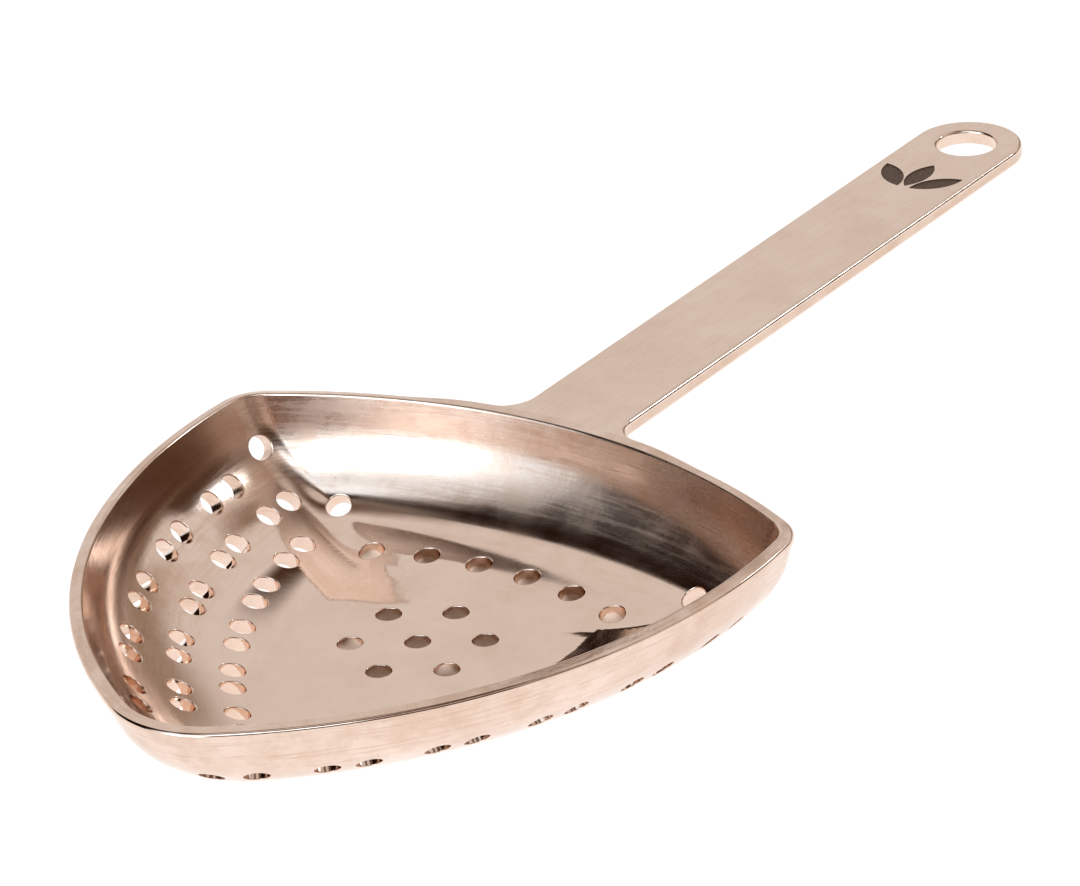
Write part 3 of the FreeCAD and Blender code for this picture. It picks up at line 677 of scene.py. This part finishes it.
def build_handle(materials):
    """The bar: rounded edges and cut side, root in the wall, hanging hole and etched sprig."""
    builder = Builder()
    side, outward, edge = handle_outline()
    wide = HANDLE_WIDTH / 2 + HANDLE_FLARE
    levels, inset, tilt = [], [], []
    for k in range(ROUND_STEPS + 1):
        angle = math.pi / 2 * k / ROUND_STEPS
        levels.append((0, -(1 - math.cos(angle))))
        inset.append(1 - math.sin(angle))
        tilt.append((math.sin(angle), math.cos(angle)))
    levels += [(-1, -low) for _, low in levels[::-1]]
    inset += inset[::-1]
    tilt += [(out, -up) for out, up in tilt[::-1]]

    root_y = np.linspace(-wide, wide, ROOT_STEPS + 1)[1:-1]
    c, s = math.cos(HANDLE_DROOP), math.sin(HANDLE_DROOP)
    rows = []
    for (base, low), pull, (out, up) in zip(levels, inset, tilt):
        z = base * HANDLE_GAUGE + low * edge
        flat = side - outward * (pull * edge)[:, None]
        ring = np.c_[flat, z]
        normal = np.c_[outward * out, np.full(len(ring), up)]
        root_z = base * HANDLE_GAUGE + low * ROOT_EDGE
        height = RIM_HEIGHT - HANDLE_DROP - HANDLE_OVERLAP * s + root_z * c
        x = wall_x(root_y, height) - WALL_GRIP - (RIM["reach"] - HANDLE_OVERLAP)
        x = (x - root_z * s) / c + pull * ROOT_EDGE
        root = np.c_[x, root_y, np.full(len(x), root_z)]
        root_normal = np.c_[np.full(len(x), -out), np.zeros(len(x)), np.full(len(x), up)]
        ring = np.vstack([ring, root])
        normal = np.vstack([normal, root_normal])
        normal /= np.linalg.norm(normal, axis=1)[:, None]
        rows.append((builder.add(handle_to_part(ring), turn_to_part(normal)), ring))
    for k, ((low_row, _), (high_row, _)) in enumerate(zip(rows, rows[1:])):
        builder.strip(low_row, high_row, kind=SIDE_FACE if k == ROUND_STEPS else COPPER_FACE)

    angle = np.linspace(0, 2 * math.pi, HANG_HOLE_SIDES + 1)[:-1]
    spoke = np.c_[np.cos(angle), np.sin(angle), np.zeros(len(angle))]
    centre = np.array([HANDLE_LENGTH, 0.0, 0.0])
    mouth_radius = HANG_HOLE_RADIUS + HANG_HOLE_BEVEL
    bores = []
    for is_bottom in (False, True):
        face_z = -HANDLE_GAUGE if is_bottom else 0.0
        inward = 1.0 if is_bottom else -1.0
        up = np.array([0.0, 0.0, -inward])
        edge_ring = centre + spoke * mouth_radius + [0, 0, face_z]
        numbers = [builder.add(handle_to_part(edge_ring), turn_to_part(up))]
        for k in range(1, MOUTH_ARC_STEPS + 1):
            t = math.pi / 2 * k / MOUTH_ARC_STEPS
            ring = centre + spoke * (mouth_radius - HANG_HOLE_BEVEL * math.sin(t))
            ring[:, 2] = face_z + inward * HANG_HOLE_BEVEL * (1 - math.cos(t))
            normal = -spoke * math.sin(t) + up * math.cos(t)
            numbers.append(builder.add(handle_to_part(ring), turn_to_part(normal)))
        bores.append((numbers, edge_ring))
    bore_rows = bores[0][0] + bores[1][0][::-1]
    for low_row, high_row in zip(bore_rows, bore_rows[1:]):
        builder.strip(low_row, high_row)

    leaves, up = leaf_loops(), turn_to_part([0, 0, 1])
    for is_bottom, (row, ring) in ((False, rows[0]), (True, rows[-1])):
        mouth_numbers, mouth_ring = bores[is_bottom][0][0], bores[is_bottom][1]
        flats, numbers, loops = [mouth_ring[:, :2]], [mouth_numbers], [len(mouth_ring)]
        if not is_bottom:
            for leaf in leaves:
                top, low = (
                    builder.add(handle_to_part(np.c_[leaf, np.full(len(leaf), z)]), up)
                    for z in (0.0, -ETCH_DEPTH)
                )
                builder.strip(top, low, kind=ETCHED_FACE)
                builder.fill(low, leaf, [list(range(len(leaf)))], kind=ETCHED_FACE)
                flats.append(leaf)
                numbers.append(top)
                loops.append(len(leaf))
        flats.append(ring[:, :2])
        numbers.append(row)
        loops.append(len(row))
        starts = np.cumsum([0] + loops)
        builder.fill(
            np.concatenate(numbers), np.vstack(flats),
            [list(range(a, b)) for a, b in zip(starts, starts[1:])], flip=is_bottom,
        )
    return builder.finish("bar_handle", materials)


# ---------------------------------------------------------------- the weld

WELD_STATIONS, WELD_ARC_STEPS = 140, 12
WELD_RIPPLE, WELD_RIPPLE_PITCH = 0.045, 0.95
WELD_FADE = 2.2  # distance over which the bead tapers at each end
WELD_END_SHARE = 0.28  # what is left of its radius there


def build_weld(materials):
    """A concave bead swept along the wall under the bar, with fine ripples and tapered ends."""
    builder = Builder()
    lean, droop = WALL_LEAN, HANDLE_DROOP
    off_wall = np.array([math.cos(lean), -math.sin(lean)])
    off_bar = np.array([-math.sin(droop), -math.cos(droop)])
    wall_height = RIM_HEIGHT - HANDLE_DROP
    bar_height = wall_height - HANDLE_OVERLAP * math.sin(droop) - HANDLE_GAUGE / math.cos(droop)
    stations = np.linspace(-WELD_LENGTH / 2, WELD_LENGTH / 2, WELD_STATIONS + 1)
    grid = []
    for y in stations:
        ends = min(1.0, (WELD_LENGTH / 2 - abs(y)) / WELD_FADE)
        swell = math.sqrt(max(0.0, ends * (2 - ends)))
        beat = math.sin(2 * math.pi * y / WELD_RIPPLE_PITCH + 0.8 * math.sin(y))
        radius = WELD_RADIUS * (WELD_END_SHARE + (1 - WELD_END_SHARE) * swell)
        wall_foot = np.array([float(wall_x(y, wall_height)[0]), wall_height])
        bar_foot = np.array([wall_foot[0], bar_height])
        right = np.array([off_wall @ wall_foot + radius, off_bar @ bar_foot + radius])
        centre = np.linalg.solve(np.array([off_wall, off_bar]), right)
        start, end = -off_bar, -off_wall
        first, last = math.atan2(start[1], start[0]), math.atan2(end[1], end[0]) % (2 * math.pi)
        row = []
        for k in range(WELD_ARC_STEPS + 1):
            t = k / WELD_ARC_STEPS
            angle = first + (last - first) * t
            bulge = WELD_RIPPLE * beat * swell * math.sin(math.pi * t)
            row.append(centre + (radius - bulge) * np.array([math.cos(angle), math.sin(angle)]))
        on_bar, on_wall = row[0], row[-1]
        in_wall, in_bar = on_wall - off_wall * WALL_GRIP, on_bar - off_bar * WALL_GRIP
        row += [in_wall, np.array([in_wall[0], in_bar[1]]), in_bar]
        grid.append([(x, y, z) for x, z in row])
    grid = np.array(grid)
    along = np.gradient(grid, axis=0)
    across = np.roll(grid, -1, axis=1) - np.roll(grid, 1, axis=1)
    across[:, 0] = grid[:, 1] - grid[:, 0]
    across[:, WELD_ARC_STEPS] = grid[:, WELD_ARC_STEPS] - grid[:, WELD_ARC_STEPS - 1]
    normal = np.cross(across, along)
    normal /= np.linalg.norm(normal, axis=2)[:, :, None]
    facing = (normal[:, WELD_ARC_STEPS // 2, 0] > 0).mean() > 0.5
    numbers = builder.add(grid, normal if facing else -normal)
    for low, high in zip(numbers, numbers[1:]):
        builder.strip(low, high)
    builder.face(numbers[0][::-1])
    builder.face(numbers[-1])
    return builder.finish("weld_bead_under_bar", materials)


# ---------------------------------------------------------------- materials

COPPER = (0.865, 0.68, 0.575)
BAR_COPPER = (0.865, 0.685, 0.575)
# The side of the bar is a darker copper: painted shade, for the side that catches less light than
# the top.
SIDE_COPPER_PAINTED_SHADE = (0.76, 0.575, 0.465)
WELD_COPPER = (0.845, 0.66, 0.55)


def new_material(name):
    """A material, its nodes, its links and its shader."""
    material = bpy.data.materials.new(name)
    material.use_nodes = True
    nodes, links = material.node_tree.nodes, material.node_tree.links
    return material, nodes, links, nodes["Principled BSDF"]


def noise(nodes, links, source, scale, detail, rough=0.55, stretch=None, distortion=0.0):
    """Noise over a position in metres, drawn out along the axes where stretch is small."""
    if stretch:
        mapping = nodes.new("ShaderNodeMapping")
        mapping.inputs["Scale"].default_value = stretch
        links.new(source, mapping.inputs["Vector"])
        source = mapping.outputs["Vector"]
    texture = nodes.new("ShaderNodeTexNoise")
    texture.inputs["Scale"].default_value = scale
    texture.inputs["Detail"].default_value = detail
    texture.inputs["Roughness"].default_value = rough
    texture.inputs["Distortion"].default_value = distortion
    links.new(source, texture.inputs["Vector"])
    return texture.outputs["Fac"]


def remap(nodes, links, value, low, high, new_low, new_high):
    """Carries low..high to new_low..new_high and stays there outside it."""
    node = nodes.new("ShaderNodeMapRange")
    node.inputs["From Min"].default_value = low
    node.inputs["From Max"].default_value = high
    node.inputs["To Min"].default_value = new_low
    node.inputs["To Max"].default_value = new_high
    links.new(value, node.inputs["Value"])
    return node.outputs["Result"]


def sums(nodes, links, operation, *values):
    """One sum of numbers and sockets."""
    node = nodes.new("ShaderNodeMath")
    node.operation = operation
    for value, socket in zip(values, node.inputs):
        if isinstance(value, float):
            socket.default_value = value
        else:
            links.new(value, socket)
    return node.outputs[0]


def blend(nodes, links, amount, first, second):
    """Mixes two colours, each a colour or a socket."""
    mix = nodes.new("ShaderNodeMix")
    mix.data_type = "RGBA"
    links.new(amount, mix.inputs["Factor"])
    for value, socket in ((first, mix.inputs["A"]), (second, mix.inputs["B"])):
        if isinstance(value, tuple):
            socket.default_value = (*value, 1.0)
        else:
            links.new(value, socket)
    return mix.outputs["Result"]


def bump(nodes, links, height, strength, distance, over=None):
    """A relief of the surface, on top of another one if there is one."""
    node = nodes.new("ShaderNodeBump")
    node.inputs["Strength"].default_value = strength
    node.inputs["Distance"].default_value = distance
    links.new(height, node.inputs["Height"])
    if over is not None:
        links.new(over, node.inputs["Normal"])
    return node.outputs["Normal"]


# The back wall of the bowl was polished less than the rest: satin grows over this stretch of x.
DULL_FROM_TO = (0.006, 0.019)
POLISHED_SHARE, DULL_SHARE = 0.6, 1.4
DARKER = (0.76, 0.65, 0.56)  # stained copper against clean copper
TARNISHED = (0.5, 0.4, 0.32)
PATCH_RELIEF = 1.6 / 0.17  # height of the patches, for each unit of satin


def polished_copper(name, satin, mottle, brush, colour=COPPER, satin_from=None):
    """Rose-copper plating: cloudy tone, fine polishing lines, specks and a satin patchiness.

    Below satin_from, a height in metres, the metal is polished to a mirror.
    """
    material, nodes, links, shader = new_material(name)
    place = nodes.new("ShaderNodeTexCoord").outputs["Object"]
    cloud = noise(nodes, links, place, 90.0, 5.0, 0.6, distortion=0.5)
    patch = noise(nodes, links, place, 320.0, 4.0, 0.65)
    grain = noise(nodes, links, place, 1400.0, 3.0, 0.6)
    lines = noise(nodes, links, place, 2600.0, 4.0, 0.65, brush)
    speck = noise(nodes, links, place, 1700.0, 1.0, 0.5)

    def share(value, low, high, most):
        """How much of an effect there is: none at the low value, most at the high one."""
        return remap(nodes, links, value, low, high, 0.0, most)

    worn = dulled = 1.0
    if satin_from is not None:
        split = nodes.new("ShaderNodeSeparateXYZ")
        links.new(place, split.inputs[0])
        worn = remap(nodes, links, split.outputs["Z"], satin_from, satin_from + 0.003, 0.3, 1.0)
        dulled = sums(
            nodes, links, "MULTIPLY", worn,
            remap(nodes, links, split.outputs["X"], *DULL_FROM_TO, POLISHED_SHARE, DULL_SHARE),
        )

    # Tone: clouds, patches and lines of a darker copper, and specks of tarnish.
    dark = tuple(c * k for c, k in zip(colour, DARKER))
    tarnish = tuple(c * k for c, k in zip(colour, TARNISHED))
    tone = colour
    for amount, stain in (
        (share(cloud, 0.35, 0.68, mottle), dark),
        (share(patch, 0.45, 0.7, 0.7 * mottle), dark),
        (share(lines, 0.5, 0.68, 0.8 * mottle), dark),
        (share(speck, 0.76, 0.8, 0.5), tarnish),
    ):
        tone = blend(nodes, links, sums(nodes, links, "MULTIPLY", amount, worn), tone, stain)
    links.new(tone, shader.inputs["Base Color"])
    shader.inputs["Metallic"].default_value = 1.0

    # Satin: the clouds and the polishing lines are duller.
    rough = sums(
        nodes, links, "ADD",
        remap(nodes, links, cloud, 0.35, 0.65, satin * 0.55, satin * 1.3),
        share(lines, 0.45, 0.75, satin * 0.6),
    )
    links.new(sums(nodes, links, "MULTIPLY", rough, dulled), shader.inputs["Roughness"])

    # Relief: polishing lines, grain and patches, over a broad wave.
    relief = lines
    for part, depth in ((grain, 0.5), (patch, PATCH_RELIEF * satin)):
        relief = sums(nodes, links, "MULTIPLY_ADD", part, depth, relief)
    relief = sums(nodes, links, "MULTIPLY", relief, worn)
    fine = bump(nodes, links, relief, 0.08, 0.0001)
    wave = noise(nodes, links, place, 60.0, 2.0, 0.45)
    links.new(bump(nodes, links, wave, 0.15, 0.0005, fine), shader.inputs["Normal"])
    return material


def etched_brown():
    """The matt brown of the etched sprig."""
    material, nodes, links, shader = new_material("etched_mark")
    place = nodes.new("ShaderNodeTexCoord").outputs["Object"]
    grain = noise(nodes, links, place, 2200.0, 3.0, 0.6)
    tone = blend(
        nodes, links, remap(nodes, links, grain, 0.35, 0.65, 0.0, 1.0),
        (0.085, 0.042, 0.022), (0.15, 0.082, 0.05),
    )
    links.new(tone, shader.inputs["Base Color"])
    shader.inputs["Metallic"].default_value = 0.35
    shader.inputs["Roughness"].default_value = 0.55
    links.new(bump(nodes, links, grain, 0.3, 0.0001), shader.inputs["Normal"])
    return material


bowl_metal = polished_copper("bowl_metal_plating", 0.17, 0.7, (0.04, 0.04, 1.0), satin_from=0.0035)
handle_metal = polished_copper("handle_metal_plating", 0.12, 0.25, (0.04, 1.0, 1.0), BAR_COPPER)
# The bar's side: its darker copper is painted shade, and its duller satin is its own finish.
side_metal_painted_shade = polished_copper("handle_side_plating_painted_shade", 0.2, 0.4, (0.04, 1.0, 0.3), SIDE_COPPER_PAINTED_SHADE)
weld_metal = polished_copper("weld_metal_plating", 0.2, 0.7, (0.3, 0.3, 0.3), WELD_COPPER)
etched = etched_brown()

# ---------------------------------------------------------------- the pieces

for piece, slot, node in (
    (build_bowl([bowl_metal]), "bowl_metal", "bowl"),
    (build_handle([handle_metal, etched, side_metal_painted_shade]), "handle_metal", "handle"),
    (build_weld([weld_metal]), "weld_metal", "weld_bead"),
):
    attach(piece, "root")
    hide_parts(node)

# ---------------------------------------------------------------- floor, light and camera

FLOOR_HALF = 4.0
FLOOR_GAP = 0.00003  # the studio floor lies this far below the bowl
# The ground gives light, but not where it is shut in under the base: behind SHADE_BACK,
# ahead of SHADE_TIP and wider by SHADE_SPLAY towards the back than SHADE_SIDE.
SHADE_BACK, SHADE_TIP, SHADE_SIDE, SHADE_SPLAY = 0.0195, 0.015, 0.0102, 0.45
SHADE_EDGE = (-0.003, 0.001)  # the shade fades out over this distance
SHADE_COLOUR = (0.12, 0.075, 0.048)
FLOOR_GLOW = 0.84
floor_mesh = bpy.data.meshes.new("studio_floor")
floor_mesh.from_pydata(
    [(x * FLOOR_HALF, y * FLOOR_HALF, -FLOOR_GAP) for x, y in ((-1, -1), (1, -1), (1, 1), (-1, 1))],
    [], [(0, 1, 2, 3)],
)
studio_floor = bpy.data.objects.new("studio_floor", floor_mesh)
bpy.context.scene.collection.objects.link(studio_floor)
white, nodes, links, shader = new_material("studio_white")
shader.inputs["Base Color"].default_value = (0.4, 0.4, 0.4, 1.0)
shader.inputs["Roughness"].default_value = 0.9
shader.inputs["Specular IOR Level"].default_value = 0.0
shader.inputs["Emission Strength"].default_value = FLOOR_GLOW
place = nodes.new("ShaderNodeSeparateXYZ")
links.new(nodes.new("ShaderNodeTexCoord").outputs["Object"], place.inputs[0])
beside = sums(
    nodes, links, "MULTIPLY_ADD", place.outputs["X"], -SHADE_SPLAY,
    sums(nodes, links, "ABSOLUTE", place.outputs["Y"]),
)
past = sums(nodes, links, "SUBTRACT", beside, SHADE_SIDE)
for edge in (
    sums(nodes, links, "SUBTRACT", place.outputs["X"], SHADE_BACK),
    sums(nodes, links, "SUBTRACT", -SHADE_TIP, place.outputs["X"]),
):
    past = sums(nodes, links, "MAXIMUM", past, edge)
lit = remap(nodes, links, past, *SHADE_EDGE, 0.0, 1.0)
glow = blend(nodes, links, lit, SHADE_COLOUR, (1.0, 1.0, 1.0))
links.new(glow, shader.inputs["Emission Color"])
# From below the floor is clear, so that the underside of the bowl can be seen.
underneath = nodes.new("ShaderNodeNewGeometry").outputs["Backfacing"]
one_way = nodes.new("ShaderNodeMixShader")
links.new(underneath, one_way.inputs["Fac"])
links.new(shader.outputs["BSDF"], one_way.inputs[1])
links.new(nodes.new("ShaderNodeBsdfTransparent").outputs["BSDF"], one_way.inputs[2])
links.new(one_way.outputs["Shader"], nodes["Material Output"].inputs["Surface"])
floor_mesh.materials.append(white)

world = bpy.data.worlds.new("studio")
bpy.context.scene.world = world
world.use_nodes = True
nodes, links = world.node_tree.nodes, world.node_tree.links
background = nodes["Background"]
direction = nodes.new("ShaderNodeTexCoord").outputs["Generated"]


def world_node(kind, **values):
    """A new node of the world, with these values set."""
    node = nodes.new(kind)
    for name, value in values.items():
        setattr(node, name, value)
    return node


def step_up(value, low, high):
    """0 below low, 1 above high and a smooth rise between them."""
    node = world_node("ShaderNodeMapRange", interpolation_type="SMOOTHSTEP")
    node.inputs["From Min"].default_value = low
    node.inputs["From Max"].default_value = high
    links.new(value, node.inputs["Value"])
    return node.outputs["Result"]


def level_part(direction):
    """The direction turned level, with length 1."""
    flatten = world_node("ShaderNodeVectorMath", operation="MULTIPLY")
    flatten.inputs[1].default_value = (1.0, 1.0, 0.0)
    links.new(direction, flatten.inputs[0])
    unit = world_node("ShaderNodeVectorMath", operation="NORMALIZE")
    links.new(flatten.outputs["Vector"], unit.inputs[0])
    return unit.outputs["Vector"]


def dotted(vector, axis):
    """The dot product of a vector socket and a fixed axis."""
    node = world_node("ShaderNodeVectorMath", operation="DOT_PRODUCT")
    node.inputs[1].default_value = axis
    links.new(vector, node.inputs[0])
    return node.outputs["Value"]


def sine(degrees):
    return math.sin(math.radians(max(-90.0, min(90.0, degrees))))


def cosine(degrees):
    return math.cos(math.radians(max(0.0, min(180.0, degrees))))


height = dotted(direction, (0.0, 0.0, 1.0))
level = level_part(direction)


def card(colour, azimuth, half_width, low, high, soft):
    """Paints one soft-edged panel of the studio, given by its azimuth and elevations."""
    axis = (math.cos(math.radians(azimuth)), math.sin(math.radians(azimuth)), 0.0)
    across = step_up(
        dotted(level, axis), cosine(half_width + soft), cosine(half_width - soft)
    )
    above = step_up(height, sine(low - soft), sine(low + soft))
    below = step_up(height, sine(high + soft), sine(high - soft))
    mask = across
    for limit in (above, below):
        mask = sums(nodes, links, "MULTIPLY", mask, limit)
    return colour, mask


def cap(colour, azimuth, elevation, radius, soft):
    """Paints one soft-edged round panel."""
    flat = math.cos(math.radians(elevation))
    axis = (
        flat * math.cos(math.radians(azimuth)), flat * math.sin(math.radians(azimuth)),
        math.sin(math.radians(elevation)),
    )
    return colour, step_up(dotted(direction, axis), cosine(radius + soft), cosine(radius - soft))


def warm(level):
    """Light of a panel, which is redder the dimmer it is."""
    fall = min(1.0, level / 0.8) ** 0.27
    return (level * 0.97, level * 0.942 * fall, level * 0.918 * fall**2)


def cool(level):
    """Bluish light, which takes two reflections in copper to the tone of one."""
    return (level * 0.84, level, level * 1.14)


# The panels, each over the ones before.  A card has azimuth, half width, lowest and highest
# elevation and softness, and a cap has azimuth, elevation, radius and softness, all in degrees.
colour = warm(0.8)
for shade, mask in (
    cap(warm(0.12), 0, 90, 24, 6),
    cap(warm(0.75), 0, 90, 11, 4),
    card(warm(0.62), 290, 26, -30, 60, 9),
    card(cool(1.2), 186, 40, -30, 46, 6),
    card(cool(1.4), 190, 42, 46, 64, 4),
    card(cool(4.5), 179, 17, -30, 31, 5),
    card(cool(3.2), 217, 17, 35, 49, 3),
    card(warm(0.06), 223, 19, 0, 30, 3),
    card(warm(0.1), 250, 14, 3, 36, 3),
    card(warm(0.1), 277, 9, 20, 38, 4),
    card(warm(0.05), 262, 34, 53, 66, 3),
    cap(warm(0.05), 226, 66, 7, 3),
    card(warm(0.3), 347, 8, 37, 44, 3),
    card(warm(0.015), 117, 25, -30, 66, 4),
    card(warm(0.04), 152, 9, 58, 68, 3),
    card(warm(0.09), 323, 13, -30, 27, 3),
    card(warm(0.22), 350, 14, -30, 13, 3),
    card(warm(0.38), 8, 14, -30, 22, 5),
    card(warm(0.07), 23, 4, 33, 54, 3),
    cap(cool(9.0), 329, 30, 4, 2),
):
    colour = blend(nodes, links, mask, colour, shade)
links.new(colour, background.inputs["Color"])
background.inputs["Strength"].default_value = 1.0

# The camera stands where the photograph was taken from: its place in millimetres and the turn
# that takes the part's axes to right, down and forward.
CAMERA_AT = (-643.978, -483.1116, 439.6875)
CAMERA_TURN = (1.8242, -1.0192, 0.54)
SENSOR_WIDTH = 36.0
CAMERA_LENS = 8000 * SENSOR_WIDTH / 1080
spin = Vector(CAMERA_TURN)
rows = Matrix.Rotation(spin.length, 3, spin.normalized())
camera_data = bpy.data.cameras.new("camera")
camera_data.lens = CAMERA_LENS
camera_data.sensor_width = SENSOR_WIDTH
camera_data.clip_end = 50.0
camera = bpy.data.objects.new("camera", camera_data)
frame_axes = Matrix((rows[0], -rows[1], -rows[2])).transposed().to_4x4()
camera.matrix_world = Matrix.Translation(Vector(CAMERA_AT) * METRES) @ frame_axes
bpy.context.scene.collection.objects.link(camera)
bpy.context.scene.camera = camera
bpy.context.scene.view_settings.view_transform = "Standard"
